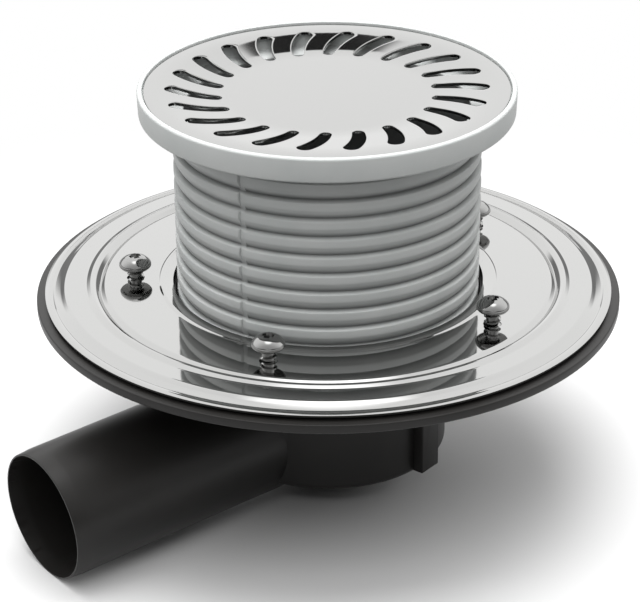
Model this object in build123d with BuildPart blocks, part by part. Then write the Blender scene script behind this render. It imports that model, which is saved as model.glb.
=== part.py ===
from build123d import *
import os
from math import atan2, cos, radians, sin, tan

# Gully trap for floors with a clamped waterproofing membrane.
# The origin is the centre of the body's flange, on its top face, and the outlet runs towards +X.
# All sizes are in millimetres and degrees.

# Riser: a ribbed extension pipe that slides in the body's socket
riser_radius = 58.0          # over the rib crests
riser_wall = 2.5             # from the bore to the groove floors
riser_insertion = 14.0       # below the flange top, as set
rib_pitch = 7.0
rib_count = 12
groove_depth = 2.0
groove_shoulder = 0.7        # height of the short flank under each groove floor
groove_undercut = 3.5        # height of the long flank over it
tail_length = 4.6            # from the lowest groove to the lower end
neck_length = 5.1            # from the highest groove to the frame
riser_lead_in = 0.8
seam_width = 2.2             # mould seam bar across the grooves
seam_depth = 0.8             # its face below the crests
seam_angle = 19.0

# Frame ring moulded on top of the riser
frame_overhang = 12.7        # outside the rib crests
frame_height = 9.5
frame_draft = 0.35           # the ring is this much smaller at its lower edge
frame_lip = 2.0
frame_edge_bevel = 1.0
frame_wall = 2.2
ledge_setback = 0.4          # ledge edge outside the bend of the grate
step_depth = 5.7             # from the ledge down to the floor inside it

# Grate: pressed sheet with curved slots
grate_sheet = 1.2
grate_gap = 0.5              # between the rim and the lip
grate_recess = 0.8           # rim below the top of the lip
grate_dish = 2.1             # centre below the rim
grate_rim_width = 6.0
grate_slope_width = 21.2     # from the flat centre to the rim
slot_count = 22
slot_inner_reach = 1.8       # inner ends, into the flat centre
slot_outer_inset = 1.7       # outer ends, inside the rim
slot_sweep = 7.0             # the outer end turns back by this angle
slot_lead = 10.0             # inner end, off the radius
slot_inner_width = 4.4
slot_middle_width = 5.5
slot_outer_width = 6.0
slot_phase = 3.0             # first slot, from the outlet

# Body: flange, socket and pot
flange_width = 53.9          # outside the rib crests
flange_thickness = 3.5
land_height = 2.9            # raised land that the clamping ring sits on
land_inner_offset = 6.0      # from the socket bore
land_width = 19.0
socket_clearance = 0.6       # socket bore over the rib crests
socket_wall = 2.9
riser_room = 8.5             # under the riser, for setting it lower
shoulder_thickness = 2.5
gland_floor = 2.3            # the socket is thicker to this much below the seal
seal_groove_top = 3.2
seal_groove_height = 4.0
seal_groove_depth = 4.0
pot_setback = 15.5           # pot wall inside the socket
pot_wall = 2.6
pot_cone_height = 16.0       # of the tapered bottom
base_radius = 19.0           # flat that the drain stands on
lug_angle = 104.5            # lugs on the pot wall, either side of the outlet
lug_width = 10.5
lug_reach = 4.0

# Outlet pipe, a plain spigot for a push-fit socket
pipe_diameter = 50.0
pipe_wall = 1.8
pipe_slope = 3.0
pipe_reach = 132.3           # along the pipe, from the drain's axis to the mouth
pipe_headroom = 1.3          # from the shoulder down to the pipe, at the pot wall
spigot_length = 74.0         # plain part that a socket takes
pipe_root_draft = 0.4        # the pipe is this much thicker at the drain's axis
pipe_taper_length = 6.0
pipe_taper = 0.45            # radius lost at the mouth
pipe_mouth_flare = 0.7       # bore opens this much at the mouth

# Screws, not driven home
screw_count = 5
screw_offset = 16.0          # screw circle outside the rib crests
screw_angle = 36.0
screw_length = 19.0
screw_lift = 5.2             # head above the clamping ring
screw_core_radius = 2.4
screw_tip = 4.0
head_radius = 6.2
head_height = 4.1
head_flat_radius = 4.2       # flat top of the pan head
pilot_clearance = 0.1
pilot_room = 3.2             # below the tip of the screw
boss_wall = 3.0
boss_floor = 2.0
boss_web_thickness = 2.5
boss_web_depth = 14.0

# Clamping ring: pressed sheet
ring_sheet = 1.0
ring_inset = 3.3             # rim inside the edge of the flange
ring_hole_gap = 1.5          # hole edge outside the rib crests
ring_collar_width = 3.4      # turned down around the hole
ring_collar_drop = 1.2
ring_groove_width = 2.0      # sloping side of the groove inside the bead
ring_groove_depth = 0.95
ring_bead_rise = 3.4         # width of the inner side of the bead
ring_bead_fall = 2.2         # width of its outer side
ring_bead_height = 1.1
ring_flat_width = 7.9        # outer flat, level with the screw flat
ring_step_width = 1.7        # the edge goes down in a step and a slope
ring_step_drop = 0.95
ring_slope_width = 2.4
ring_slope_drop = 1.05
ring_rim_width = 3.6         # rolled rim
ring_rim_height = 0.55
ring_rim_drop = 0.4
screw_hole_radius = 3.4

# Lift-out odour trap
collar_gap = 1.0             # collar inside the riser bore
collar_thickness = 2.5
trap_seal_thickness = 1.5
trap_seal_inset = 1.0
tube_gap = 12.0              # from the dip tube out to the cup
tube_wall = 2.0
cup_gap = 7.4                # between the cup and the pot wall
cup_cone_gap = 1.1           # between their tapered bottoms
cup_base_gap = 5.9           # between their floors
cup_wall = 2.0
cup_rim_depth = 32.0         # the water spills over this edge
cup_floor_gap = 8.0          # below the dip tube
fin_count = 4
fin_thickness = 2.0
fin_grip = 18.0              # height of the fins beside the tube
fin_step = 8.0               # length of the ledges under the tube
fin_clearance = 0.3
bail_section = 4.0

# Riser seal
seal_clearance = 0.3         # lips outside the rib crests
seal_fit = 0.2               # seal inside its groove
seal_lip = 1.1

os.makedirs("parts", exist_ok=True)

# Levels and radii that several pieces share
riser_bore = riser_radius - groove_depth - riser_wall
riser_bottom = -riser_insertion
lowest_groove = riser_bottom + tail_length
frame_bottom = lowest_groove + (rib_count - 1) * rib_pitch + neck_length
frame_top = frame_bottom + frame_height
frame_radius = riser_radius + frame_overhang
frame_inner = frame_radius - frame_lip
grate_rim_top = frame_top - grate_recess
ledge_top = grate_rim_top - grate_sheet
grate_radius = frame_inner - grate_gap
grate_bend = grate_radius - grate_rim_width
grate_centre_radius = grate_bend - grate_slope_width
ledge_inner = grate_bend + ledge_setback
frame_floor = ledge_top - step_depth

socket_bore = riser_radius + socket_clearance
socket_radius = socket_bore + socket_wall
seal_seat = socket_bore + seal_groove_depth
gland_radius = seal_seat + socket_wall
flange_radius = riser_radius + flange_width
seal_groove_bottom = seal_groove_top + seal_groove_height
gland_depth = seal_groove_bottom + gland_floor
shoulder_top = riser_bottom - riser_room
shoulder_bottom = shoulder_top - shoulder_thickness
pot_radius = socket_radius - pot_setback
pot_bore = pot_radius - pot_wall

pipe_radius = pipe_diameter / 2
pipe_bore = pipe_radius - pipe_wall
spigot_end = pipe_reach - pipe_taper_length
pipe_direction = (cos(radians(pipe_slope)), 0, -sin(radians(pipe_slope)))
pipe_axis_depth = pipe_headroom + pipe_radius - shoulder_bottom - pot_radius * tan(radians(pipe_slope))
pipe_lowest = pipe_axis_depth + spigot_end * sin(radians(pipe_slope))
pipe_lowest += pipe_radius * cos(radians(pipe_slope))
base_level = -pipe_lowest    # the base stands level with the pipe's lowest point
pot_rim = base_level + pot_cone_height

screw_circle = riser_radius + screw_offset
ring_radius = flange_radius - ring_inset
ring_hole = riser_radius + ring_hole_gap
ring_top = land_height + ring_sheet
head_bottom = ring_top + screw_lift
tip_level = head_bottom - screw_length
pilot_depth = pilot_room - tip_level
boss_depth = pilot_depth + boss_floor


def turned(points, axis=Axis.Z, mode=Mode.ADD, plane=Plane.XZ):
    """Revolve a closed outline given as radius and height."""
    with BuildSketch(plane) as outline:
        with BuildLine():
            Polyline(*points, close=True)
        make_face()
    revolve(outline.sketch, axis=axis, mode=mode)


# Body
pipe_axis = Axis((0, 0, -pipe_axis_depth), pipe_direction)
pipe_section = Plane((0, 0, -pipe_axis_depth), x_dir=pipe_direction, z_dir=(0, -1, 0))
pot_slope = atan2(pot_rim - base_level, pot_radius - base_radius)
floor_lift = pot_wall / cos(pot_slope)
inner_rim = base_level + (pot_bore - base_radius) * tan(pot_slope) + floor_lift
inner_floor_radius = base_radius + (pot_wall - floor_lift) / tan(pot_slope)
land_inner = socket_bore + land_inner_offset
land_outer = land_inner + land_width

with BuildPart() as drain_body:
    turned([
        (0, 0),
        (land_inner, 0),
        (land_inner, land_height),
        (land_outer, land_height),
        (land_outer, 0),
        (flange_radius, 0),
        (flange_radius, -flange_thickness),
        (gland_radius, -flange_thickness),
        (gland_radius, -gland_depth),
        (socket_radius, -gland_depth),
        (socket_radius, shoulder_bottom),
        (pot_radius, shoulder_bottom),
        (pot_radius, pot_rim),
        (base_radius, base_level),
        (0, base_level),
    ])
    # Outlet pipe with a tapered mouth
    turned([
        (0, 0),
        (0, pipe_radius + pipe_root_draft),
        (spigot_end - spigot_length, pipe_radius),
        (spigot_end, pipe_radius),
        (pipe_reach, pipe_radius - pipe_taper),
        (pipe_reach, 0),
    ], pipe_axis, plane=pipe_section)
    # Lugs on the pot wall
    with BuildSketch(Plane.XY.offset(pot_rim)):
        with PolarLocations(pot_radius, 2, lug_angle, 360 - 2 * lug_angle, endpoint=True):
            Rectangle(2 * lug_reach, lug_width)
    extrude(amount=shoulder_bottom - pot_rim)
    # Screw bosses under the flange, tied to the socket by webs
    with BuildSketch(Plane.XY.offset(-flange_thickness)):
        with PolarLocations(screw_circle, screw_count, screw_angle):
            Circle(screw_core_radius + pilot_clearance + boss_wall)
    extrude(amount=flange_thickness - boss_depth)
    with BuildSketch(Plane.XY.offset(-flange_thickness)):
        with PolarLocations((socket_radius + screw_circle) / 2, screw_count, screw_angle):
            Rectangle(screw_circle - socket_radius + socket_wall, boss_web_thickness)
    extrude(amount=flange_thickness - boss_web_depth)
    # Socket, seal groove and pot
    turned([
        (0, 2 * land_height),
        (socket_bore, 2 * land_height),
        (socket_bore, -seal_groove_top),
        (seal_seat, -seal_groove_top),
        (seal_seat, -seal_groove_bottom),
        (socket_bore, -seal_groove_bottom),
        (socket_bore, shoulder_top),
        (pot_bore, shoulder_top),
        (pot_bore, inner_rim),
        (inner_floor_radius, base_level + pot_wall),
        (0, base_level + pot_wall),
    ], mode=Mode.SUBTRACT)
    # Bore of the outlet, flared at the mouth
    turned([
        (0, 0),
        (0, pipe_bore),
        (spigot_end, pipe_bore),
        (pipe_reach, pipe_bore + pipe_mouth_flare),
        (pipe_reach, 0),
    ], pipe_axis, Mode.SUBTRACT, pipe_section)
    # Pilot holes for the screws
    with PolarLocations(screw_circle, screw_count, screw_angle):
        Hole(screw_core_radius + pilot_clearance, pilot_depth)

# Clamping ring: one pressed section, bent along its middle line
rim_start = ring_radius - ring_rim_width
slope_start = rim_start - ring_slope_width
step_start = slope_start - ring_step_width
bead_outer = step_start - ring_flat_width
bead_peak = bead_outer - ring_bead_fall
bead_inner = bead_peak - ring_bead_rise
ring_flat = land_height + ring_sheet / 2
bead_top = ring_flat + ring_bead_height
rim_foot = ring_flat - ring_step_drop - ring_slope_drop
with BuildPart() as clamping_ring:
    with BuildSketch(Plane.XZ):
        with BuildLine():
            Polyline(
                (ring_hole, ring_flat - ring_collar_drop),
                (ring_hole + ring_collar_width, ring_flat),
                (bead_inner - ring_groove_width, ring_flat),
                (bead_inner, ring_flat - ring_groove_depth),
                (bead_inner + ring_bead_rise / 2, ring_flat + ring_bead_height / 2),
                (bead_peak, bead_top),
                (bead_outer, ring_flat),
                (step_start, ring_flat),
                (slope_start, ring_flat - ring_step_drop),
                (rim_start, rim_foot),
                (rim_start + ring_rim_width / 4, rim_foot + ring_rim_height),
                (ring_radius - ring_rim_width / 3, rim_foot + ring_rim_height),
                (ring_radius, rim_foot + ring_rim_height - ring_rim_drop),
            )
        trace(line_width=ring_sheet)
    revolve(axis=Axis.Z)
    with BuildSketch():
        with PolarLocations(screw_circle, screw_count, screw_angle):
            Circle(screw_hole_radius)
    extrude(amount=bead_top + ring_sheet, mode=Mode.SUBTRACT)

# Screws
head_top = head_bottom + head_height
with BuildPart() as screw:
    turned([
        (0, head_top),
        (0, tip_level),
        (screw_core_radius, tip_level + screw_tip),
        (screw_core_radius, head_bottom),
        (head_radius, head_bottom),
        (head_flat_radius, head_top),
    ])

with BuildPart() as clamp_screws:
    with PolarLocations(screw_circle, screw_count, screw_angle):
        add(screw.part)

# Riser and frame
groove_root = riser_radius - groove_depth
frame_foot = frame_radius - frame_draft
with BuildPart() as riser:
    with BuildSketch(Plane.XZ):
        with BuildLine():
            Polyline(
                (riser_radius, lowest_groove - groove_shoulder),
                (riser_radius, riser_bottom + riser_lead_in),
                (riser_radius - riser_lead_in, riser_bottom),
                (riser_bore, riser_bottom),
                (riser_bore, frame_floor),
                (ledge_inner, frame_floor),
                (ledge_inner, ledge_top),
                (frame_inner, ledge_top),
                (frame_inner, frame_top),
                (frame_radius, frame_top),
                (frame_foot, frame_bottom + frame_edge_bevel),
                (frame_foot - frame_edge_bevel, frame_bottom),
                (frame_foot - frame_lip, frame_bottom),
                (frame_inner - frame_draft, ledge_top - frame_wall),
                (ledge_inner + frame_wall, ledge_top - frame_wall),
                (ledge_inner + frame_wall, frame_floor - frame_wall),
                (riser_radius, frame_floor - frame_wall),
            )
            for rib in range(rib_count):
                groove = lowest_groove + rib * rib_pitch
                crest_end = groove + rib_pitch - groove_shoulder
                if rib == rib_count - 1:
                    crest_end = frame_floor - frame_wall
                Polyline(
                    (riser_radius, groove - groove_shoulder),
                    (groove_root, groove),
                    (riser_radius, groove + groove_undercut),
                    (riser_radius, crest_end),
                )
        make_face()
    revolve(axis=Axis.Z)
    # Mould seam: a flat bar across the grooves, on both sides
    seam_face = riser_radius - seam_depth
    seam_height = frame_floor - frame_wall - riser_bottom
    with BuildSketch(Plane.XY.offset(riser_bottom)):
        with PolarLocations(seam_face + seam_depth, 2, seam_angle):
            Rectangle(2 * seam_depth, seam_width)
    extrude(amount=seam_height, mode=Mode.SUBTRACT)
    with BuildSketch(Plane.XY.offset(riser_bottom)):
        with PolarLocations(seam_face - riser_wall / 2, 2, seam_angle):
            Rectangle(riser_wall, seam_width)
    extrude(amount=seam_height)

# Grate
grate_centre_top = grate_rim_top - grate_dish
slot_inner_radius = grate_centre_radius - slot_inner_reach
slot_outer_radius = grate_bend - slot_outer_inset
slot_start = Vector(slot_inner_radius + slot_inner_width / 2, 0)
slot_end = Vector(slot_outer_radius - slot_outer_width / 2, 0).rotate(Axis.Z, -slot_sweep)
with BuildLine() as slot_path:
    TangentArc(slot_start, slot_end, tangent=Vector(1, 0).rotate(Axis.Z, -slot_lead))


def slot_side(share, width):
    """Point beside the slot's path, half a width to its left or, if negative, to its right."""
    along = slot_path.wires()[0].tangent_at(share)
    return slot_path.wires()[0].position_at(share) + along.rotate(Axis.Z, 90) * (width / 2)


with BuildSketch() as slot:
    with BuildLine():
        ThreePointArc(
            slot_side(0, slot_inner_width),
            slot_side(0.5, slot_middle_width),
            slot_side(1, slot_outer_width),
        )
        ThreePointArc(
            slot_side(1, slot_outer_width),
            slot_end + slot_path.wires()[0].tangent_at(1) * (slot_outer_width / 2),
            slot_side(1, -slot_outer_width),
        )
        ThreePointArc(
            slot_side(1, -slot_outer_width),
            slot_side(0.5, -slot_middle_width),
            slot_side(0, -slot_inner_width),
        )
        ThreePointArc(
            slot_side(0, -slot_inner_width),
            slot_start - slot_path.wires()[0].tangent_at(0) * (slot_inner_width / 2),
            slot_side(0, slot_inner_width),
        )
    make_face()

with BuildPart() as grate:
    turned([
        (0, grate_centre_top),
        (grate_centre_radius, grate_centre_top),
        (grate_bend, grate_rim_top),
        (grate_radius, grate_rim_top),
        (grate_radius, ledge_top),
        (grate_bend, ledge_top),
        (grate_centre_radius, grate_centre_top - grate_sheet),
        (0, grate_centre_top - grate_sheet),
    ])
    with BuildSketch(Plane.XY.offset(grate_rim_top)):
        with PolarLocations(0, slot_count, slot_phase):
            add(slot.sketch)
    extrude(amount=-(grate_dish + 2 * grate_sheet), mode=Mode.SUBTRACT)

# Riser seal with a lip towards the ribs
seal_outer = seal_seat - seal_fit
seal_inner = riser_radius + seal_clearance
seal_top = -seal_groove_top - seal_fit
seal_bottom = -seal_groove_bottom + seal_fit
seal_middle = (seal_top + seal_bottom) / 2
with BuildPart() as riser_seal:
    turned([
        (seal_outer, seal_top),
        (seal_inner + seal_lip, seal_top),
        (seal_inner, seal_middle),
        (seal_inner + seal_lip, seal_bottom),
        (seal_outer, seal_bottom),
    ])

# Odour trap: a dip tube that hangs from a collar, and a water cup held on it
collar_radius = riser_bore - collar_gap
collar_bottom = shoulder_top + trap_seal_thickness
collar_top = collar_bottom + collar_thickness
cup_radius = pot_bore - cup_gap
tube_radius = cup_radius - tube_gap
tube_bore = tube_radius - tube_wall
cup_bottom = base_level + pot_wall + cup_base_gap
cup_floor = cup_bottom + cup_wall
tube_end = cup_floor + cup_floor_gap
with BuildPart() as trap_seal:
    with BuildSketch(Plane.XY.offset(shoulder_top)):
        Circle(collar_radius - trap_seal_inset)
        Circle(pot_bore + trap_seal_inset, mode=Mode.SUBTRACT)
    extrude(amount=trap_seal_thickness)

with BuildPart() as trap_tube:
    turned([
        (tube_bore, collar_top),
        (tube_bore, tube_end),
        (tube_radius, tube_end),
        (tube_radius, collar_bottom),
        (collar_radius, collar_bottom),
        (collar_radius, collar_top),
    ])
    with BuildSketch(Plane.XZ.offset(-bail_section / 2)):
        with Locations((0, collar_top)):
            Circle(tube_radius)
            Circle(tube_radius - bail_section, mode=Mode.SUBTRACT)
            Rectangle(
                2 * tube_radius,
                tube_radius,
                align=(Align.CENTER, Align.MAX),
                mode=Mode.SUBTRACT,
            )
    extrude(amount=bail_section)

cup_floor_radius = inner_floor_radius + cup_base_gap / tan(pot_slope) - cup_cone_gap / sin(pot_slope)
cup_bend = cup_bottom + (cup_radius - cup_floor_radius) * tan(pot_slope)
# Fin of the cup: stands on its floor and wall, carries the tube's end and grips its side
step_inner = tube_bore - fin_step
grip_inner = tube_radius + fin_clearance
wall_middle = cup_wall / 2
with BuildPart() as fin:
    with BuildSketch(Plane.XZ):
        with BuildLine():
            Polyline(
                (step_inner, cup_floor - wall_middle),
                (cup_floor_radius - wall_middle, cup_floor - wall_middle),
                (cup_radius - wall_middle, cup_bend),
                (cup_radius - wall_middle, tube_end + fin_grip),
                (grip_inner, tube_end + fin_grip),
                (grip_inner, tube_end),
                (step_inner, tube_end),
                close=True,
            )
        make_face()
    extrude(amount=fin_thickness / 2, both=True)

with BuildPart() as trap_cup:
    turned([
        (0, cup_bottom),
        (cup_floor_radius, cup_bottom),
        (cup_radius, cup_bend),
        (cup_radius, -cup_rim_depth),
        (cup_radius - cup_wall, -cup_rim_depth),
        (cup_radius - cup_wall, cup_bend),
        (cup_floor_radius - cup_wall, cup_floor),
        (0, cup_floor),
    ])
    with PolarLocations(0, fin_count):
        add(fin.part)

pieces = {
    "drain_body": drain_body,
    "clamping_ring": clamping_ring,
    "clamp_screws": clamp_screws,
    "riser": riser,
    "riser_seal": riser_seal,
    "grate": grate,
    "trap_tube": trap_tube,
    "trap_cup": trap_cup,
    "trap_seal": trap_seal,
}
for name, piece in pieces.items():
    piece.part.label = name
    export_step(piece.part, f"parts/{name}.step")
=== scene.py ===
from math import cos, pi, radians, sin, tan

import bmesh
import bpy
from mathutils import Matrix, Vector


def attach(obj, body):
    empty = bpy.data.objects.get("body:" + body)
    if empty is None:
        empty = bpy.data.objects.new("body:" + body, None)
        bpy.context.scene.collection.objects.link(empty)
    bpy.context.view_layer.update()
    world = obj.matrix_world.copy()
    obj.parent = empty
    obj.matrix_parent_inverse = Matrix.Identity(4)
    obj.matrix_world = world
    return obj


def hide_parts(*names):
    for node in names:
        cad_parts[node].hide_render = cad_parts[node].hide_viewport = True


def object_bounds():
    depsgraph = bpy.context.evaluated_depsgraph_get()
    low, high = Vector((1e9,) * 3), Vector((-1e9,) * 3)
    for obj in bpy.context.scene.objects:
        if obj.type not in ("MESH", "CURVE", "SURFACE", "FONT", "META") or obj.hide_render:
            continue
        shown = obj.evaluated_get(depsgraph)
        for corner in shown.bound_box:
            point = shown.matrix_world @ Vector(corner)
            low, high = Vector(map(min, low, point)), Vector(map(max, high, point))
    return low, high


# Gully trap: black moulded body, polished clamping ring, grey riser and a slotted grate.
# Piece sizes are in millimetres, as on the drawing, and turned into metres by mm.
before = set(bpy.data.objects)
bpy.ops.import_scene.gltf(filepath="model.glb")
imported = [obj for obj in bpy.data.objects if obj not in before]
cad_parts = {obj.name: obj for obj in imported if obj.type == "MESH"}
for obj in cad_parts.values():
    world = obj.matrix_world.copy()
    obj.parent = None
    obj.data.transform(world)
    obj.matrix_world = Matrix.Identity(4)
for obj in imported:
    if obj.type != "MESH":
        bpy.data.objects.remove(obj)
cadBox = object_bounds()
scene = bpy.context.scene
mm = 0.001
print("frame loaded:", ", ".join(sorted(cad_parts)))


# Small helpers

def hexColour(code):
    parts = [int(code[i:i + 2], 16) / 255 for i in (1, 3, 5)]
    return [p / 12.92 if p <= 0.04045 else ((p + 0.055) / 1.055) ** 2.4 for p in parts] + [1.0]


def addNode(tree, kind, settings=None, links=None):
    node = tree.nodes.new(kind)
    for key, value in (settings or {}).items():
        if isinstance(key, int) or key in node.inputs:
            node.inputs[key].default_value = value
        else:
            setattr(node, key, value)
    for key, source in (links or {}).items():
        tree.links.new(source, node.inputs[key])
    return node


def newMaterial(name, settings):
    material = bpy.data.materials.new(name)
    material.use_nodes = True
    tree = material.node_tree
    shader = tree.nodes["Principled BSDF"]
    for key, value in settings.items():
        shader.inputs[key].default_value = value
    place = addNode(tree, "ShaderNodeTexCoord").outputs["Object"]
    return material, tree, shader, place


def perMetre(sizeMm):
    return 1 / (sizeMm * mm)


def spinOutline(bm, outline, steps, angle=2 * pi):
    # corners are (radius, height, softness); a soft corner is rounded before the spin
    corners = [bm.verts.new((r * mm, 0, z * mm)) for r, z, soft in outline]
    for pair in zip(corners, corners[1:] + corners[:1]):
        bm.edges.new(pair)
    before = set(bm.verts) - set(corners)
    for corner, (r, z, soft) in zip(corners, outline):
        if soft:
            bmesh.ops.bevel(bm, geom=[corner], offset=soft * mm, offset_type='OFFSET', segments=4,
                            profile=0.5, affect='VERTICES', material=-1)
    verts = [v for v in bm.verts if v not in before]
    edges = {e for v in verts for e in v.link_edges}
    bmesh.ops.spin(bm, geom=verts + list(edges), cent=(0, 0, 0), axis=(0, 0, 1), angle=angle,
                   steps=steps, use_merge=abs(angle - 2 * pi) < 1e-6)


def tidy(bm):
    bmesh.ops.remove_doubles(bm, verts=bm.verts[:], dist=1e-6)
    bmesh.ops.dissolve_degenerate(bm, edges=bm.edges[:], dist=1e-6)
    loose = [v for v in bm.verts if not v.link_faces]
    bmesh.ops.delete(bm, geom=loose, context='VERTS')
    bmesh.ops.recalc_face_normals(bm, faces=bm.faces[:])


def makeObject(name, bm):
    mesh = bpy.data.meshes.new(name)
    bm.to_mesh(mesh)
    bm.free()
    piece = bpy.data.objects.new(name, mesh)
    scene.collection.objects.link(piece)
    return piece


def combine(piece, tool, operation):
    cut = piece.modifiers.new("cut", 'BOOLEAN')
    cut.object = tool
    cut.operation = operation
    cut.solver = 'EXACT'
    shaped = piece.evaluated_get(bpy.context.evaluated_depsgraph_get())
    mesh = bpy.data.meshes.new_from_object(shaped)
    piece.modifiers.clear()
    piece.data = mesh
    bpy.data.objects.remove(tool)


def smoothShade(piece, sharpAngle=32):
    bm = bmesh.new()
    bm.from_mesh(piece.data)
    for face in bm.faces:
        face.smooth = True
    for edge in bm.edges:
        edge.smooth = len(edge.link_faces) == 2 and edge.calc_face_angle(0) < radians(sharpAngle)
    bm.to_mesh(piece.data)
    bm.free()


def dress(piece, material, body, slot, *nodes):
    piece.data.materials.clear()
    piece.data.materials.append(material)
    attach(piece, body)
    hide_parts(*nodes)
    print("piece", piece.name, len(piece.data.polygons), "faces")


# Materials

def blackPolypropylene():
    # moulded black polypropylene: satin skin, a fine grain and faint flow marks
    material, tree, shader, place = newMaterial("blackPolypropylene",
                                                {"IOR": 1.49, "Specular IOR Level": 0.3})
    flow = addNode(tree, "ShaderNodeTexNoise", {"Scale": perMetre(30), "Detail": 3.0}, {"Vector": place})
    grain = addNode(tree, "ShaderNodeTexNoise", {"Scale": perMetre(0.5), "Detail": 2.0}, {"Vector": place})
    colour = addNode(tree, "ShaderNodeValToRGB", None, {"Fac": flow.outputs["Fac"]})
    for stop, spot, code in zip(colour.color_ramp.elements, (0.3, 0.7), ("#161514", "#1c1b1a")):
        stop.position = spot
        stop.color = hexColour(code)
    tree.links.new(colour.outputs["Color"], shader.inputs["Base Color"])
    rough = addNode(tree, "ShaderNodeMapRange", {3: 0.34, 4: 0.46}, {0: flow.outputs["Fac"]})
    tree.links.new(rough.outputs[0], shader.inputs["Roughness"])
    bump = addNode(tree, "ShaderNodeBump", {"Strength": 0.12, "Distance": 0.05 * mm},
                   {"Height": grain.outputs["Fac"]})
    tree.links.new(bump.outputs["Normal"], shader.inputs["Normal"])
    return material


def greyAbs(grooveFloor, crest, frameFoot):
    # moulded grey ABS: matt, slightly uneven in tone, a fine grain, and painted shade in the grooves of the
    # ribs
    material, tree, shader, place = newMaterial("greyAbs", {"IOR": 1.53, "Specular IOR Level": 0.5})
    flow = addNode(tree, "ShaderNodeTexNoise", {"Scale": perMetre(18), "Detail": 4.0}, {"Vector": place})
    grain = addNode(tree, "ShaderNodeTexNoise", {"Scale": perMetre(0.6), "Detail": 2.0}, {"Vector": place})
    colour = addNode(tree, "ShaderNodeValToRGB", None, {"Fac": flow.outputs["Fac"]})
    for stop, spot, code in zip(colour.color_ramp.elements, (0.3, 0.7), ("#a3a6a5", "#abadac")):
        stop.position = spot
        stop.color = hexColour(code)
    # painted shade: the base colour is scaled down to 0.4 towards the groove floor radius, only below the
    # frame foot
    flat = addNode(tree, "ShaderNodeVectorMath", {"operation": 'MULTIPLY', 1: (1, 1, 0)}, {0: place})
    fromAxis = addNode(tree, "ShaderNodeVectorMath", {"operation": 'LENGTH'}, {0: flat.outputs[0]})
    groove = addNode(tree, "ShaderNodeMapRange", {1: grooveFloor * mm, 2: crest * mm, 3: 0.4, 4: 1.0},
                     {0: fromAxis.outputs["Value"]})
    height = addNode(tree, "ShaderNodeSeparateXYZ", None, {0: place})
    frameOn = addNode(tree, "ShaderNodeMapRange", {1: frameFoot * mm, 2: (frameFoot + 1) * mm},
                      {0: height.outputs["Z"]})
    unshadedShare = addNode(tree, "ShaderNodeMath", {"operation": 'MAXIMUM'},
                    {0: groove.outputs[0], 1: frameOn.outputs[0]})
    grooveShaded = addNode(tree, "ShaderNodeVectorMath", {"operation": 'SCALE'},
                    {0: colour.outputs["Color"], "Scale": unshadedShare.outputs[0]})
    tree.links.new(grooveShaded.outputs[0], shader.inputs["Base Color"])
    rough = addNode(tree, "ShaderNodeMapRange", {3: 0.42, 4: 0.54}, {0: flow.outputs["Fac"]})
    tree.links.new(rough.outputs[0], shader.inputs["Roughness"])
    bump = addNode(tree, "ShaderNodeBump", {"Strength": 0.10, "Distance": 0.05 * mm},
                   {"Height": grain.outputs["Fac"]})
    tree.links.new(bump.outputs["Normal"], shader.inputs["Normal"])
    return material


def polishedStainless():
    # mirror polished stainless sheet: faint waviness from pressing, and hazier patches
    material, tree, shader, place = newMaterial("polishedStainless", {"Metallic": 1.0})
    wave = addNode(tree, "ShaderNodeTexNoise", {"Scale": perMetre(22), "Detail": 2.0}, {"Vector": place})
    haze = addNode(tree, "ShaderNodeTexNoise", {"Scale": perMetre(6), "Detail": 4.0}, {"Vector": place})
    shader.inputs["Base Color"].default_value = hexColour("#a6a6a5")
    rough = addNode(tree, "ShaderNodeMapRange", {3: 0.03, 4: 0.07}, {0: haze.outputs["Fac"]})
    tree.links.new(rough.outputs[0], shader.inputs["Roughness"])
    bump = addNode(tree, "ShaderNodeBump", {"Strength": 0.25, "Distance": 0.12 * mm},
                   {"Height": wave.outputs["Fac"]})
    tree.links.new(bump.outputs["Normal"], shader.inputs["Normal"])
    return material


def buffedStainless():
    # polished stainless sheet, buffed flat: sharp reflections that are a little hazier in patches
    material, tree, shader, place = newMaterial("buffedStainless", {"Metallic": 1.0})
    haze = addNode(tree, "ShaderNodeTexNoise", {"Scale": perMetre(14), "Detail": 3.0}, {"Vector": place})
    shader.inputs["Base Color"].default_value = hexColour("#9d9d9c")
    rough = addNode(tree, "ShaderNodeMapRange", {3: 0.03, 4: 0.06}, {0: haze.outputs["Fac"]})
    tree.links.new(rough.outputs[0], shader.inputs["Roughness"])
    return material


def screwSteel():
    # bright stainless screw with a patchy, slightly dull polish
    material, tree, shader, place = newMaterial("screwSteel", {"Metallic": 1.0})
    haze = addNode(tree, "ShaderNodeTexNoise", {"Scale": perMetre(2), "Detail": 3.0}, {"Vector": place})
    shader.inputs["Base Color"].default_value = hexColour("#969695")
    rough = addNode(tree, "ShaderNodeMapRange", {3: 0.08, 4: 0.16}, {0: haze.outputs["Fac"]})
    tree.links.new(rough.outputs[0], shader.inputs["Roughness"])
    return material


def sealRubber():
    # black EPDM: matt with a dusty bloom
    material, tree, shader, place = newMaterial("sealRubber", {"IOR": 1.5, "Roughness": 0.7})
    bloom = addNode(tree, "ShaderNodeTexNoise", {"Scale": perMetre(4), "Detail": 4.0}, {"Vector": place})
    colour = addNode(tree, "ShaderNodeValToRGB", None, {"Fac": bloom.outputs["Fac"]})
    for stop, spot, code in zip(colour.color_ramp.elements, (0.3, 0.8), ("#171717", "#242424")):
        stop.position = spot
        stop.color = hexColour(code)
    tree.links.new(colour.outputs["Color"], shader.inputs["Base Color"])
    return material


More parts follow.
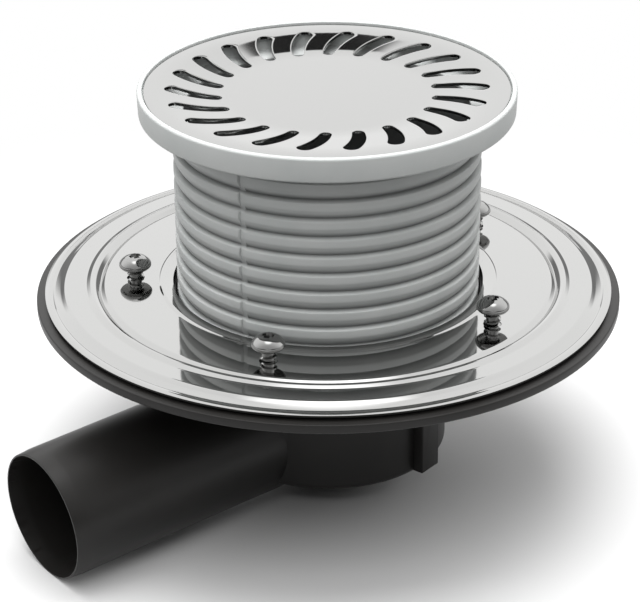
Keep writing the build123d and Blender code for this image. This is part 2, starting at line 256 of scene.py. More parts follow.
def trapPolypropylene():
    # light grey moulded polypropylene of the lift-out trap: smooth, with faint flow marks
    material, tree, shader, place = newMaterial("trapPolypropylene", {"IOR": 1.49, "Roughness": 0.45})
    flow = addNode(tree, "ShaderNodeTexNoise", {"Scale": perMetre(12), "Detail": 3.0}, {"Vector": place})
    colour = addNode(tree, "ShaderNodeValToRGB", None, {"Fac": flow.outputs["Fac"]})
    for stop, spot, code in zip(colour.color_ramp.elements, (0.3, 0.7), ("#c3c3bf", "#cfcfcb")):
        stop.position = spot
        stop.color = hexColour(code)
    tree.links.new(colour.outputs["Color"], shader.inputs["Base Color"])
    return material


bodyPlastic = blackPolypropylene()
riserPlastic = greyAbs(grooveFloor=55.8, crest=57.4, frameFoot=72.5)
ringSteel = polishedStainless()
grateSteel = buffedStainless()
threadSteel = screwSteel()
rubber = sealRubber()
trapPlastic = trapPolypropylene()
print("materials made")


# Drain body: flange, seal socket, pot and sloping outlet

drain = {
    "flangeRadius": 111.9, "flangeThickness": 3.5,
    "landInner": 64.6, "landOuter": 83.6, "landHeight": 2.9,
    "socketBore": 58.6, "socketRadius": 61.5, "shoulderTop": -22.5, "shoulderBottom": -25.0,
    "glandRadius": 65.5, "glandBottom": -9.5,
    "sealSeat": 62.6, "sealTop": -3.2, "sealBottom": -7.2,
    "potRadius": 46.0, "potBore": 43.4, "potRim": -64.465, "innerRim": -62.984,
    "baseRadius": 19.0, "baseLevel": -80.465, "floorRadius": 18.288, "floorLevel": -77.865,
    "pipeRadius": 25.0, "pipeBore": 23.2, "pipeDraft": 0.4, "spigotStart": 52.3, "spigotEnd": 126.3,
    "pipeReach": 132.3, "pipeTaper": 0.45, "pipeFlare": 0.7, "pipeAxisLevel": -48.889, "pipeSlope": 3.0,
    "lugAngle": 104.5, "lugWidth": 10.5, "lugReach": 4.0,
    "screwCircle": 74.0, "screwAngle": 36.0, "screwCount": 5,
    "bossRadius": 5.5, "bossBottom": -15.1, "webThickness": 2.5, "webBottom": -14.0,
    "pilotRadius": 2.5, "pilotBottom": -13.1,
    "pipeStart": 10, "boreStart": 8, "mouth": 6, "pastFace": 5,  # where the cutters begin and end
    "steps": 256, "pipeSteps": 160,
}


def pipeTurn(d):
    level = Matrix.Translation((0, 0, d["pipeAxisLevel"] * mm))
    return level @ Matrix.Rotation(radians(90 + d["pipeSlope"]), 4, 'Y')


def addBlock(bm, size, centre, turn, soft):
    made = bmesh.ops.create_cube(bm, size=1.0)["verts"]
    bmesh.ops.scale(bm, vec=[s * mm for s in size], verts=made)
    bmesh.ops.translate(bm, vec=[c * mm for c in centre], verts=made)
    bmesh.ops.rotate(bm, cent=(0, 0, 0), matrix=Matrix.Rotation(turn, 3, 'Z'), verts=made)
    edges = list({e for v in made for e in v.link_edges})
    bmesh.ops.bevel(bm, geom=edges, offset=soft * mm, offset_type='OFFSET', segments=3,
                    profile=0.5, affect='EDGES', material=-1)


def addRod(bm, radius, low, high, place, segments=48):
    made = bmesh.ops.create_cone(bm, cap_ends=True, segments=segments, radius1=radius * mm,
                                 radius2=radius * mm, depth=(high - low) * mm)["verts"]
    bmesh.ops.translate(bm, vec=(place[0] * mm, place[1] * mm, (low + high) / 2 * mm), verts=made)


def screwPlaces(d):
    turns = [radians(d["screwAngle"] + 360 / d["screwCount"] * i) for i in range(d["screwCount"])]
    return [(d["screwCircle"] * cos(t), d["screwCircle"] * sin(t), t) for t in turns]


def makeBody(d):
    bm = bmesh.new()
    spinOutline(bm, [
        (0, 0, 0),
        (d["landInner"], 0, 0.2),
        (d["landInner"], d["landHeight"], 0.3),
        (d["landOuter"], d["landHeight"], 0.3),
        (d["landOuter"], 0, 0.2),
        (d["flangeRadius"], 0, 0.5),
        (d["flangeRadius"], -d["flangeThickness"], 0.7),
        (d["glandRadius"], -d["flangeThickness"], 1.0),
        (d["glandRadius"], d["glandBottom"], 0.8),
        (d["socketRadius"], d["glandBottom"], 0.8),
        (d["socketRadius"], d["shoulderBottom"], 1.2),
        (d["potRadius"], d["shoulderBottom"], 1.0),
        (d["potRadius"], d["potRim"], 1.6),
        (d["baseRadius"], d["baseLevel"], 1.0),
        (0, d["baseLevel"], 0),
    ], d["steps"])
    tidy(bm)
    body = makeObject("drainBody", bm)

    bm = bmesh.new()
    spinOutline(bm, [
        (0, d["pipeStart"], 0),
        (d["pipeRadius"] + d["pipeDraft"], d["pipeStart"], 0),
        (d["pipeRadius"], d["spigotStart"], 0),
        (d["pipeRadius"], d["spigotEnd"], 0.4),
        (d["pipeRadius"] - d["pipeTaper"], d["pipeReach"], 0.25),
        (0, d["pipeReach"], 0),
    ], d["pipeSteps"])
    bmesh.ops.transform(bm, matrix=pipeTurn(d), verts=bm.verts[:])
    lugMiddle = (d["shoulderBottom"] - 0.5 + d["potRim"]) / 2
    lugHeight = d["shoulderBottom"] + 0.5 - d["potRim"]
    for side in (1, -1):
        addBlock(bm, (2 * d["lugReach"], d["lugWidth"], lugHeight), (d["potRadius"], 0, lugMiddle + 0.5),
                 side * radians(d["lugAngle"]), 0.5)
    tidy(bm)
    combine(body, makeObject("pipeAndLugs", bm), 'UNION')

    bosses, webs = bmesh.new(), bmesh.new()
    for x, y, turn in screwPlaces(d):
        addRod(bosses, d["bossRadius"], d["bossBottom"], -d["flangeThickness"] / 2, (x, y))
        reach = d["screwCircle"] - d["socketRadius"] + 3
        addBlock(webs, (reach, d["webThickness"], -d["webBottom"] - 1),
                 (d["socketRadius"] - 1 + reach / 2, 0, (d["webBottom"] - 1) / 2), turn, 0.3)
    combine(body, makeObject("bosses", bosses), 'UNION')
    combine(body, makeObject("webs", webs), 'UNION')

    bm = bmesh.new()
    spinOutline(bm, [
        (0, d["mouth"], 0),
        (d["socketBore"] + d["mouth"], d["mouth"], 0),
        (d["socketBore"], 0, 0.3),
        (d["socketBore"], d["sealTop"], 0),
        (d["sealSeat"], d["sealTop"], 0),
        (d["sealSeat"], d["sealBottom"], 0),
        (d["socketBore"], d["sealBottom"], 0),
        (d["socketBore"], d["shoulderTop"], 0.4),
        (d["potBore"], d["shoulderTop"], 0.4),
        (d["potBore"], d["innerRim"], 1.0),
        (d["floorRadius"], d["floorLevel"], 0.8),
        (0, d["floorLevel"], 0),
    ], d["steps"])
    tidy(bm)
    combine(body, makeObject("hollow", bm), 'DIFFERENCE')

    bm = bmesh.new()
    spinOutline(bm, [
        (0, d["boreStart"], 0),
        (d["pipeBore"], d["boreStart"], 0),
        (d["pipeBore"], d["spigotEnd"], 1.0),
        (d["pipeBore"] + d["pipeFlare"], d["pipeReach"], 0),
        (d["pipeBore"] + d["pipeFlare"], d["pipeReach"] + d["pastFace"], 0),
        (0, d["pipeReach"] + d["pastFace"], 0),
    ], d["pipeSteps"])
    bmesh.ops.transform(bm, matrix=pipeTurn(d), verts=bm.verts[:])
    for x, y, turn in screwPlaces(d):
        addRod(bm, d["pilotRadius"], d["pilotBottom"], d["pastFace"], (x, y), 32)
    tidy(bm)
    combine(body, makeObject("bores", bm), 'DIFFERENCE')
    smoothShade(body)
    dress(body, bodyPlastic, "drain", "body_plastic", "drain_body")


makeBody(drain)


# Clamping ring: pressed and polished sheet, held up on the land by five screws

ring = {
    "sheet": 1.0, "holeRadius": 3.4, "flatFrom": 3.0, "holdIn": 0.4, "steps": 320,
    # upper face of the sheet, from the hole's raised edge to the rolled rim: radius, height, softness
    "section": [
        (59.6, 3.6, 0), (61.0, 3.9, 0.4), (64.2, 4.35, 0.4), (65.2, 3.9, 0.3),
        (85.6, 3.9, 0.5), (87.4, 2.85, 0.25), (89.1, 4.45, 0.5), (90.8, 5.0, 0.6),
        (93.0, 3.9, 0.5), (100.9, 3.9, 0.5), (102.6, 2.95, 0.3), (105.0, 1.9, 0.25), (105.9, 2.45, 0.3),
        (107.4, 2.45, 0.5), (108.6, 2.05, 0),
    ],
}


def makeRing(d, places):
    bm = bmesh.new()
    corners = [bm.verts.new((r * mm, 0, z * mm)) for r, z, soft in d["section"]]
    for pair in zip(corners, corners[1:]):
        bm.edges.new(pair)
    for corner, (r, z, soft) in zip(corners, d["section"]):
        if soft:
            bmesh.ops.bevel(bm, geom=[corner], offset=soft * mm, offset_type='OFFSET', segments=6,
                            profile=0.5, affect='VERTICES', material=-1)
    for edge in [e for e in bm.edges if e.calc_length() > d["flatFrom"] * mm]:
        # holding rings keep the flats flat
        for end in edge.verts[:]:
            near = max(end.link_edges, key=lambda e: e.calc_length())
            bmesh.utils.edge_split(near, end, d["holdIn"] * mm / near.calc_length())
    bmesh.ops.spin(bm, geom=bm.verts[:] + bm.edges[:], cent=(0, 0, 0), axis=(0, 0, 1), angle=2 * pi,
                   steps=d["steps"], use_merge=True)
    tidy(bm)
    if sum(f.normal.z for f in bm.faces) < 0:
        bmesh.ops.reverse_faces(bm, faces=bm.faces[:])
    bmesh.ops.solidify(bm, geom=bm.faces[:], thickness=d["sheet"] * mm)
    tidy(bm)
    piece = makeObject("clampingRing", bm)
    bm = bmesh.new()
    for x, y, turn in places:
        addRod(bm, d["holeRadius"], -3, 8, (x, y), 64)
    tidy(bm)
    combine(piece, makeObject("screwHoles", bm), 'DIFFERENCE')
    smoothShade(piece, 40)
    dress(piece, ringSteel, "drain", "polished_sheet", "clamping_ring")


makeRing(ring, screwPlaces(drain))


# Screws: pan heads with a cross recess and a coarse sheet-metal thread

screwSizes = {
    "headBottom": 9.1, "coreRadius": 2.35, "threadRadius": 3.2,
    # head from its chamfer up to the crown: radius, height above the bearing face, softness
    "head": [(5.5, 0, 0.2), (6.2, 0.9, 0.25), (6.1, 2.1, 0.5),
             (4.9, 3.7, 1.2), (2.8, 4.7, 1.2), (0, 5.2, 0)],
    "pitch": 2.4, "threadRoot": 0.75, "threadCrest": 0.14, "threadBury": 0.3, "threadStart": 1.0,
    "threadGap": 0.8, "turnSteps": 36, "tipLevel": -9.9, "tipLength": 4.0, "tipShare": 0.15,
    "recessLength": 7.0, "recessWidth": 2.1, "recessDepth": 2.8, "recessTaper": 0.35, "turnStep": 0.9,
    "lifts": [0.3, 0.7, 0.6, 0.0, -0.8],  # how far each one is turned out
}


def makeScrews(d, places):
    head = [(r, d["headBottom"] + z, soft) for r, z, soft in d["head"]]
    top = head[-1][1]
    bm = bmesh.new()
    spinOutline(bm, [
        (0, d["tipLevel"], 0),
        (d["coreRadius"], d["tipLevel"] + d["tipLength"], 0.6),
        (d["coreRadius"], d["headBottom"], 0.3),
    ] + head, 72)
    tidy(bm)
    screw = makeObject("screw", bm)
    for turn in (0, pi / 2):
        bm = bmesh.new()
        made = bmesh.ops.create_cube(bm, size=1.0)["verts"]
        size = (d["recessLength"], d["recessWidth"], 2 * d["recessDepth"])
        bmesh.ops.scale(bm, vec=[s * mm for s in size], verts=made)
        for v in made:  # the recess narrows downwards
            if v.co.z < 0:
                v.co.x *= d["recessTaper"]
        bmesh.ops.translate(bm, vec=(0, 0, top * mm), verts=made)
        bmesh.ops.rotate(bm, cent=(0, 0, 0), matrix=Matrix.Rotation(turn, 3, 'Z'), verts=made)
        combine(screw, makeObject("recess", bm), 'DIFFERENCE')

    bm = bmesh.new()
    start = d["tipLevel"] + d["threadStart"]
    turns = (d["headBottom"] - d["threadGap"] - start) / d["pitch"]
    root, crest = d["coreRadius"] - d["threadBury"], d["threadRadius"]
    foot, flat = d["threadRoot"], d["threadCrest"]
    profile = [(root, -foot), (crest, -flat), (crest, flat), (root, foot)]
    ridge = [bm.verts.new((r * mm, 0, (start + z) * mm)) for r, z in profile]
    edges = [bm.edges.new(pair) for pair in zip(ridge, ridge[1:] + ridge[:1])]
    steps = int(turns * d["turnSteps"])
    climb = (0, 0, turns * d["pitch"] / steps * mm)
    bmesh.ops.spin(bm, geom=ridge + edges, cent=(0, 0, 0), axis=(0, 0, 1), dvec=climb,
                   angle=turns * 2 * pi, steps=steps)
    ends = [e for e in bm.edges if len(e.link_faces) == 1]
    bmesh.ops.contextual_create(bm, geom=[e for e in ends if e.verts[0].co.z < 0])
    bmesh.ops.contextual_create(bm, geom=[e for e in ends if e.verts[0].co.z > 0])
    taperEnd = d["tipLevel"] + d["tipLength"]
    for v in bm.verts:  # the thread runs out on the tip
        if v.co.z < taperEnd * mm:
            share = max(d["tipShare"], (v.co.z / mm - d["tipLevel"]) / d["tipLength"])
            v.co.x *= share
            v.co.y *= share
    bm.from_mesh(screw.data)
    bpy.data.objects.remove(screw)
    tidy(bm)

    whole = bmesh.new()
    one = bpy.data.meshes.new("oneScrew")
    bm.to_mesh(one)
    bm.free()
    for index, (x, y, turn) in enumerate(places):
        start = len(whole.verts)
        whole.from_mesh(one)
        whole.verts.ensure_lookup_table()
        made = whole.verts[start:]
        aim = Matrix.Rotation(turn + d["turnStep"] * index, 3, 'Z')
        bmesh.ops.rotate(whole, cent=(0, 0, 0), matrix=aim, verts=made)
        bmesh.ops.translate(whole, vec=(x * mm, y * mm, d["lifts"][index] * mm), verts=made)
    piece = makeObject("clampScrews", whole)
    smoothShade(piece)
    dress(piece, threadSteel, "drain", "screw_steel", "clamp_screws")


makeScrews(screwSizes, screwPlaces(drain))


# Riser: ribbed tube with a mould seam on two sides, and the frame ring on top

riser = {
    "radius": 58.0, "bore": 53.5, "bottom": -14.0, "leadIn": 0.8,
    "ribPitch": 7.245, "ribCount": 11, "lowestGroove": -4.845, "grooveDepth": 2.3,
    "shoulder": 0.55, "undercut": 3.6,
    "tubeTop": 72.3, "hollowIn": 0.9, "hollowUp": 1.8, "seamAngle": 20.5,
    # strips of each mould seam: width, how far the crest is set in, depth of its grooves
    "seam": [(0.4, 0.2, 1.6), (1.7, 0.6, 1.1), (0.4, 0.2, 1.6)],
    "frameRadius": 70.7, "frameFoot": 70.35, "frameBottom": 72.7, "frameTop": 82.2, "frameInner": 68.7,
    "frameLip": 2.0, "ledgeTop": 80.2, "ledgeInner": 62.6, "frameFloor": 74.5, "frameWall": 2.2,
    "steps": 240,
}


def ribbedOutline(d, crest, depth):
    outline = [(d["bore"], d["tubeTop"], 0), (d["bore"], d["bottom"], 0.3),
               (crest - d["leadIn"], d["bottom"], 0.3), (crest, d["bottom"] + d["leadIn"], 0.3)]
    for rib in range(d["ribCount"]):
        groove = d["lowestGroove"] + rib * d["ribPitch"]
        outline.append((crest, groove - d["shoulder"], 0.4))
        outline.append((crest - depth, groove, 0.15))
        outline.append((crest - depth * d["hollowIn"] / d["grooveDepth"], groove + d["hollowUp"], 0.6))
        outline.append((crest, groove + d["undercut"], 0.5))
    outline.append((crest, d["tubeTop"], 0))
    return outline


def closeEnds(bm):
    rims = [e for e in bm.edges if len(e.link_faces) == 1]
    bmesh.ops.holes_fill(bm, edges=rims, sides=0)


def makeRiser(d):
    whole = bmesh.new()
    parts = []
    start = -sum(width for width, inset, depth in d["seam"]) / 2 / d["radius"]
    ribSweep = pi + 2 * start
    for width, inset, depth in d["seam"]:
        parts.append((ribbedOutline(d, d["radius"] - inset, depth), start, width / d["radius"], 2))
        start += width / d["radius"]
    parts.append((ribbedOutline(d, d["radius"], d["grooveDepth"]), start, ribSweep, d["steps"] // 2))
    for side in (0, pi):
        for outline, start, sweep, steps in parts:
            bm = bmesh.new()
            spinOutline(bm, outline, steps, sweep)
            closeEnds(bm)
            tidy(bm)
            bmesh.ops.rotate(bm, cent=(0, 0, 0), verts=bm.verts[:],
                             matrix=Matrix.Rotation(radians(d["seamAngle"]) + side + start, 3, 'Z'))
            part = bpy.data.meshes.new("riserPart")
            bm.to_mesh(part)
            bm.free()
            whole.from_mesh(part)
            bpy.data.meshes.remove(part)
    bm = bmesh.new()
    wall = d["frameWall"]
    spinOutline(bm, [
        (d["bore"], d["tubeTop"], 0),
        (d["bore"], d["frameFloor"], 0.4),
        (d["ledgeInner"], d["frameFloor"], 0.4),
        (d["ledgeInner"], d["ledgeTop"], 0.3),
        (d["frameInner"], d["ledgeTop"], 0.2),
        (d["frameInner"], d["frameTop"], 0.4),
        (d["frameRadius"], d["frameTop"], 1.0),
        (d["frameFoot"], d["frameBottom"], 1.0),
        (d["frameFoot"] - d["frameLip"], d["frameBottom"], 0.4),
        (d["frameFoot"] - d["frameLip"], d["ledgeTop"] - wall, 0.4),
        (d["ledgeInner"] + wall, d["ledgeTop"] - wall, 0.6),
        (d["ledgeInner"] + wall, d["frameFloor"] - wall, 0.6),
        (d["radius"], d["frameFloor"] - wall, 0),
    ], d["steps"])
    tidy(bm)
    part = bpy.data.meshes.new("riserPart")
    bm.to_mesh(part)
    bm.free()
    whole.from_mesh(part)
    bpy.data.meshes.remove(part)
    piece = makeObject("riserTube", whole)
    smoothShade(piece, 50)
    dress(piece, riserPlastic, "extension", "riser_plastic", "riser")


makeRiser(riser)


# Grate: dished sheet with a swirl of slots

grate = {
    "rimTop": 81.4, "sheet": 1.2, "dish": 2.1, "radius": 68.2, "bend": 62.2, "centreRadius": 41.0,
    "bendSoft": 4.5, "slotCount": 22, "slotInner": 39.2, "slotOuter": 60.5, "slotPhase": 3.0,
    "slotSweep": 7.0, "slotLead": 10.0, "innerWidth": 4.4, "middleWidth": 5.5, "outerWidth": 6.0,
    "patchInner": 37.0, "sidePoints": 20, "endPoints": 10, "edgeSoft": 0.12,
    "rimRings": [63.0, 63.9, 65.5, 67.4], "centreRings": [34, 30, 24, 16, 8, 2],  # radii of the mesh rings
}


def swirl(d, radius):
    # angle of the slot's middle line at a radius
    start = d["slotInner"] + d["innerWidth"] / 2
    end = d["slotOuter"] - d["outerWidth"] / 2
    lead = tan(radians(-d["slotLead"])) / start
    bend = (radians(-d["slotSweep"]) - lead * (end - start)) / (end - start) ** 2
    return lead * (radius - start) + bend * (radius - start) ** 2


def polar(radius, angle):
    return Vector((radius * cos(angle), radius * sin(angle), 0))


def slotLoop(d):
    start = d["slotInner"] + d["innerWidth"] / 2
    end = d["slotOuter"] - d["outerWidth"] / 2

    def along(radius):
        near, far = radius - 0.01, radius + 0.01
        return (polar(far, swirl(d, far)) - polar(near, swirl(d, near))).normalized()

    def halfWidth(share):
        straight = d["innerWidth"] + (d["outerWidth"] - d["innerWidth"]) * share
        bulge = d["middleWidth"] - (d["innerWidth"] + d["outerWidth"]) / 2
        return (straight + 4 * bulge * share * (1 - share)) / 2

    def side(sign, share):
        radius = start + (end - start) * share
        across = along(radius).cross(Vector((0, 0, 1)))
        return polar(radius, swirl(d, radius)) + across * sign * halfWidth(share)

    def tip(radius, width, turn):
        outward = along(radius)
        across = outward.cross(Vector((0, 0, 1)))
        return polar(radius, swirl(d, radius)) + (outward * sin(turn) + across * cos(turn)) * width / 2

    n, m = d["sidePoints"], d["endPoints"]
    points = [side(1, i / n) for i in range(n)]
    points += [tip(end, d["outerWidth"], pi * i / m) for i in range(m)]
    points += [side(-1, 1 - i / n) for i in range(n)]
    points += [tip(start, d["innerWidth"], pi + pi * i / m) for i in range(m)]
    return points


def patchLoop(d):
    half = pi / d["slotCount"]
    low, high = d["patchInner"], d["bend"]
    n, m = d["sidePoints"], d["endPoints"]

    def at(share, across):
        radius = low + (high - low) * share
        return polar(radius, swirl(d, radius) + across * half)

    points = [at(i / n, -1) for i in range(n)]
    points += [at(1, -1 + 2 * i / m) for i in range(m)]
    points += [at(1 - i / n, 1) for i in range(n)]
    points += [at(0, 1 - 2 * i / m) for i in range(m)]
    return points


def dishHeight(d, radius):
    # flat centre, sloping slotted band and flat rim, with soft bends
    slope = d["dish"] / (d["bend"] - d["centreRadius"])

    def soften(x):
        k = d["bendSoft"]
        return 0 if x < -k else x if x > k else (x + k) ** 2 / (4 * k)

    rise = slope * (soften(radius - d["centreRadius"]) - soften(radius - d["bend"]))
    return d["rimTop"] - d["dish"] + rise


def makeGrate(d):
    bm = bmesh.new()
    loops = []
    for points in (slotLoop(d), patchLoop(d)):
        verts = [bm.verts.new(p * mm) for p in points]
        loops.append([bm.edges.new(pair) for pair in zip(verts, verts[1:] + verts[:1])])
    bmesh.ops.bridge_loops(bm, edges=loops[0] + loops[1])
    across = [e for e in bm.edges if e not in loops[0] and e not in loops[1]]
    bmesh.ops.subdivide_edges(bm, edges=across, cuts=5, use_grid_fill=True)
    copies = d["slotCount"] - 1
    bmesh.ops.spin(bm, geom=bm.verts[:] + bm.edges[:] + bm.faces[:], cent=(0, 0, 0), axis=(0, 0, 1),
                   angle=2 * pi * copies / d["slotCount"], steps=copies, use_duplicate=True)
    bmesh.ops.remove_doubles(bm, verts=bm.verts[:], dist=0.01 * mm)
    bmesh.ops.rotate(bm, cent=(0, 0, 0), verts=bm.verts[:],
                     matrix=Matrix.Rotation(radians(d["slotPhase"]), 3, 'Z'))

    def borderAt(radius):
        return [e for e in bm.edges if len(e.link_faces) == 1
                and all(abs(v.co.to_2d().length - radius * mm) < 0.05 * mm for v in e.verts)]

    def grow(edges, radius):
        made = bmesh.ops.extrude_edge_only(bm, edges=edges)["geom"]
        for v in [g for g in made if isinstance(g, bmesh.types.BMVert)]:
            v.co = Vector((v.co.x, v.co.y, 0)).normalized() * radius * mm
        return [g for g in made if isinstance(g, bmesh.types.BMEdge)]

    edge = borderAt(d["bend"])
    for radius in d["rimRings"] + [d["radius"]]:
        edge = grow(edge, radius)
    edge = borderAt(d["patchInner"])
    for radius in d["centreRings"]:
        edge = grow(edge, radius)
    bmesh.ops.contextual_create(bm, geom=edge)
    for v in bm.verts:
        v.co.z = dishHeight(d, v.co.to_2d().length / mm) * mm
    tidy(bm)
    if bm.faces[0].normal.z < 0:
        bmesh.ops.reverse_faces(bm, faces=bm.faces[:])
    bmesh.ops.solidify(bm, geom=bm.faces[:], thickness=d["sheet"] * mm)
    top = [f for f in bm.faces if f.normal.z > 0.8]
    lift = max(v.co.z for f in top for v in f.verts)
    bmesh.ops.translate(bm, vec=(0, 0, d["rimTop"] * mm - lift), verts=bm.verts[:])
    cutEdges = [e for e in bm.edges if len(e.link_faces) == 2 and e.calc_face_angle(0) > radians(50)
                and max(f.normal.z for f in e.link_faces) > 0.8]
    bmesh.ops.bevel(bm, geom=cutEdges, offset=d["edgeSoft"] * mm, offset_type='OFFSET', segments=3,
                    profile=0.5, affect='EDGES', material=-1)
    tidy(bm)
    piece = makeObject("slottedGrate", bm)
    smoothShade(piece, 40)
    dress(piece, grateSteel, "extension", "grate_steel", "grate")


makeGrate(grate)


# Hidden pieces keep their drawn shape
for node, material in (("riser_seal", rubber), ("trap_seal", rubber),
                       ("trap_tube", trapPlastic), ("trap_cup", trapPlastic)):
    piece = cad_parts[node]
    piece.data.materials.clear()
    piece.data.materials.append(material)
print("pieces made")


# Stage: pale floor, soft light and the camera

stage = {
    "floorSize": 6.0, "floorColour": "#c8c8c8", "floorBounce": "#7c7c7c",
    "whiteFrom": 0.08, "whiteTo": 0.38,
    "cameraPlace": (0.51127, 0.67697, 0.41289), "cameraTarget": (0.002525, -0.001892, -0.00732),
    "cameraRoll": -0.385, "lens": 137.45,
    "roomTone": 0.14, "roomInSteel": 0.9, "wallTone": 2.15, "footShare": 0.2, "ceilingTone": 2.8,
    "standPlace": (0.018, 0.535, 0), "standSize": (0.039, 0.042, 1), "standTone": 0.02,
    # where each tone of the room starts and ends, in the ray's direction
    "wallSpan": (-0.75, 0.45), "footSpan": (0.0, 0.15), "ceilingSpan": (0.94, 1.0), "standSpan": (0.9, 1.1),
    # power in watts, size in metres, place, whether it lights the floor too
    "softboxes": [(20.0, 1.1, (-0.05, -0.1, 1.2), True), (17.5, 1.0, (0.72, 0.87, 1.4), True),
                  (2.4, 0.8, (0.95, 1.15, 0.45), False), (3.2, 0.8, (0.96, -0.72, 0.6), False),
                  (1.5, 0.8, (-0.96, 0.72, 0.6), False)],
}


def makeFloor(s):
    bm = bmesh.new()
    bmesh.ops.create_grid(bm, x_segments=2, y_segments=2, size=s["floorSize"] / 2)
    bmesh.ops.translate(bm, vec=(0, 0, cadBox[0][2]), verts=bm.verts[:])
    floor = makeObject("floor", bm)
    material = bpy.data.materials.new("paleFloor")
    material.use_nodes = True
    tree = material.node_tree
    tree.nodes.clear()
    path = addNode(tree, "ShaderNodeLightPath").outputs
    shown = addNode(tree, "ShaderNodeMath", {"operation": 'MAXIMUM'},
                    {0: path["Is Camera Ray"], 1: path["Is Glossy Ray"]})
    seen = addNode(tree, "ShaderNodeMath", {"operation": 'MAXIMUM'},
                   {0: shown.outputs[0], 1: path["Is Transmission Ray"]})
    tone = addNode(tree, "ShaderNodeMix", {"data_type": 'RGBA'}, {0: seen.outputs[0]})
    tone.inputs[6].default_value = hexColour(s["floorBounce"])
    tone.inputs[7].default_value = hexColour(s["floorColour"])
    matt = addNode(tree, "ShaderNodeBsdfDiffuse", None, {"Color": tone.outputs[2]})
    # the seen floor runs out to white away from the object, so the shadow stays and the edges are clear
    white = addNode(tree, "ShaderNodeEmission", {"Strength": 1.0})
    place = addNode(tree, "ShaderNodeTexCoord").outputs["Object"]
    flat = addNode(tree, "ShaderNodeVectorMath", {"operation": 'MULTIPLY', 1: (1, 1, 0)}, {0: place})
    away = addNode(tree, "ShaderNodeVectorMath", {"operation": 'LENGTH'}, {0: flat.outputs[0]})
    clear = addNode(tree, "ShaderNodeMapRange", {"interpolation_type": 'SMOOTHSTEP', 1: s["whiteFrom"],
                    2: s["whiteTo"]}, {0: away.outputs["Value"]})
    share = addNode(tree, "ShaderNodeMath", {"operation": 'MULTIPLY'},
                    {0: clear.outputs[0], 1: seen.outputs[0]})
    both = addNode(tree, "ShaderNodeMixShader", None,
                   {0: share.outputs[0], 1: matt.outputs[0], 2: white.outputs[0]})
    addNode(tree, "ShaderNodeOutputMaterial", None, {"Surface": both.outputs[0]})
    floor.data.materials.append(material)


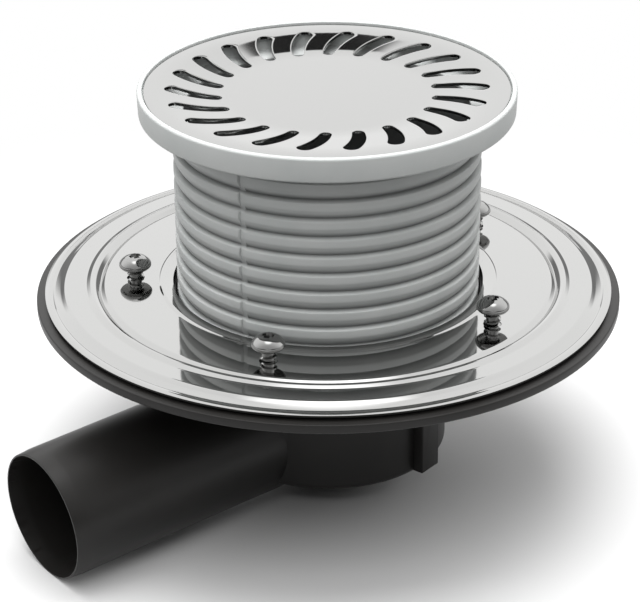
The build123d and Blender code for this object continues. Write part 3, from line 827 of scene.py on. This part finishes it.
def makeWorld(s):
    # a bright wall behind the object with a dark foot that rises to either side, a dim room in front,
    # a bright patch overhead and a dark stand against the wall, which the polished sheet picks up
    world = bpy.data.worlds.new("studio")
    world.use_nodes = True
    scene.world = world
    tree = world.node_tree
    tree.nodes.clear()
    ray = addNode(tree, "ShaderNodeTexCoord").outputs["Generated"]
    ahead = (Vector(s["cameraTarget"]) - Vector(s["cameraPlace"])).to_2d().normalized()
    away = addNode(tree, "ShaderNodeVectorMath", {"operation": 'DOT_PRODUCT', 1: (ahead.x, ahead.y, 0)},
                   {0: ray})
    side = addNode(tree, "ShaderNodeVectorMath", {"operation": 'DOT_PRODUCT', 1: (ahead.y, -ahead.x, 0)},
                   {0: ray})
    height = addNode(tree, "ShaderNodeVectorMath", {"operation": 'DOT_PRODUCT', 1: (0, 0, 1)}, {0: ray})
    # the steel sees a paler room above its foot, so that it stays bright from behind too
    glossy = addNode(tree, "ShaderNodeLightPath").outputs["Is Glossy Ray"]
    low, high = s["footSpan"]
    above = addNode(tree, "ShaderNodeMapRange", {"interpolation_type": 'SMOOTHSTEP', 1: low, 2: high,
                    3: 0.0, 4: s["roomInSteel"] - s["roomTone"]}, {0: height.outputs["Value"]})
    front = addNode(tree, "ShaderNodeMath", {"operation": 'MULTIPLY_ADD', 2: s["roomTone"]},
                    {0: glossy, 1: above.outputs[0]})
    wall = addNode(tree, "ShaderNodeMapRange", {"interpolation_type": 'SMOOTHSTEP', 1: s["wallSpan"][0],
                   2: s["wallSpan"][1], 4: s["wallTone"]},
                   {0: away.outputs["Value"], 3: front.outputs[0]})
    spread = addNode(tree, "ShaderNodeMath", {"operation": 'PINGPONG', 1: 0.5}, {0: side.outputs["Value"]})
    rise = addNode(tree, "ShaderNodeMath", {"operation": 'MULTIPLY_ADD', 1: -0.5},
                   {0: spread.outputs[0], 2: height.outputs["Value"]})
    foot = addNode(tree, "ShaderNodeMapRange", {"interpolation_type": 'SMOOTHSTEP', 1: low, 2: high,
                   3: s["footShare"], 4: 1.0}, {0: rise.outputs[0]})
    low, high = s["ceilingSpan"]
    ceiling = addNode(tree, "ShaderNodeMapRange", {"interpolation_type": 'SMOOTHSTEP', 1: low, 2: high,
                      3: 0.0, 4: s["ceilingTone"]}, {0: height.outputs["Value"]})
    spot = addNode(tree, "ShaderNodeCombineXYZ", None,
                   {"X": side.outputs["Value"], "Y": height.outputs["Value"]})
    offset = addNode(tree, "ShaderNodeVectorMath", {"operation": 'SUBTRACT', 1: s["standPlace"]},
                     {0: spot.outputs[0]})
    share = addNode(tree, "ShaderNodeVectorMath", {"operation": 'DIVIDE', 1: s["standSize"]},
                    {0: offset.outputs[0]})
    reach = addNode(tree, "ShaderNodeVectorMath", {"operation": 'LENGTH'}, {0: share.outputs[0]})
    low, high = s["standSpan"]
    stand = addNode(tree, "ShaderNodeMapRange", {"interpolation_type": 'SMOOTHSTEP', 1: low, 2: high,
                    3: s["standTone"], 4: 1.0}, {0: reach.outputs["Value"]})
    lower = addNode(tree, "ShaderNodeMath", {"operation": 'MULTIPLY'},
                    {0: wall.outputs[0], 1: foot.outputs[0]})
    room = addNode(tree, "ShaderNodeMath", {"operation": 'ADD'},
                   {0: lower.outputs[0], 1: ceiling.outputs[0]})
    tone = addNode(tree, "ShaderNodeMath", {"operation": 'MULTIPLY'},
                   {0: room.outputs[0], 1: stand.outputs[0]})
    sky = addNode(tree, "ShaderNodeBackground", None, {"Strength": tone.outputs[0]})
    addNode(tree, "ShaderNodeOutputWorld", None, {"Surface": sky.outputs[0]})


def makeLights(s):
    flagged = bpy.data.collections.new("flagged")  # the floor is flagged off the low front and side lamps
    flagged.objects.link(bpy.data.objects["floor"])
    flagged.collection_objects[0].light_linking.link_state = 'EXCLUDE'
    for power, size, place, onFloor in s["softboxes"]:
        lamp = bpy.data.lights.new("softbox", 'AREA')
        lamp.energy = power
        lamp.size = size
        holder = bpy.data.objects.new("softbox", lamp)
        holder.location = place
        holder.visible_glossy = False
        if not onFloor:
            holder.light_linking.receiver_collection = flagged
        holder.rotation_euler = (-Vector(place)).to_track_quat('-Z', 'Y').to_euler()
        scene.collection.objects.link(holder)


def makeCamera(s):
    data = bpy.data.cameras.new("photoView")
    data.sensor_fit = 'HORIZONTAL'
    data.sensor_width = 36
    data.lens = s["lens"]
    camera = bpy.data.objects.new("photoView", data)
    place, target = Vector(s["cameraPlace"]), Vector(s["cameraTarget"])
    back = (place - target).normalized()
    right = Vector((0, 0, 1)).cross(back).normalized()
    right = Matrix.Rotation(radians(s["cameraRoll"]), 3, back) @ right
    up = back.cross(right)
    camera.matrix_world = Matrix.Translation(place) @ Matrix((right, up, back)).transposed().to_4x4()
    scene.collection.objects.link(camera)
    scene.camera = camera


makeFloor(stage)
makeWorld(stage)
makeLights(stage)
makeCamera(stage)
scene.view_settings.view_transform = 'Standard'
print("stage set")
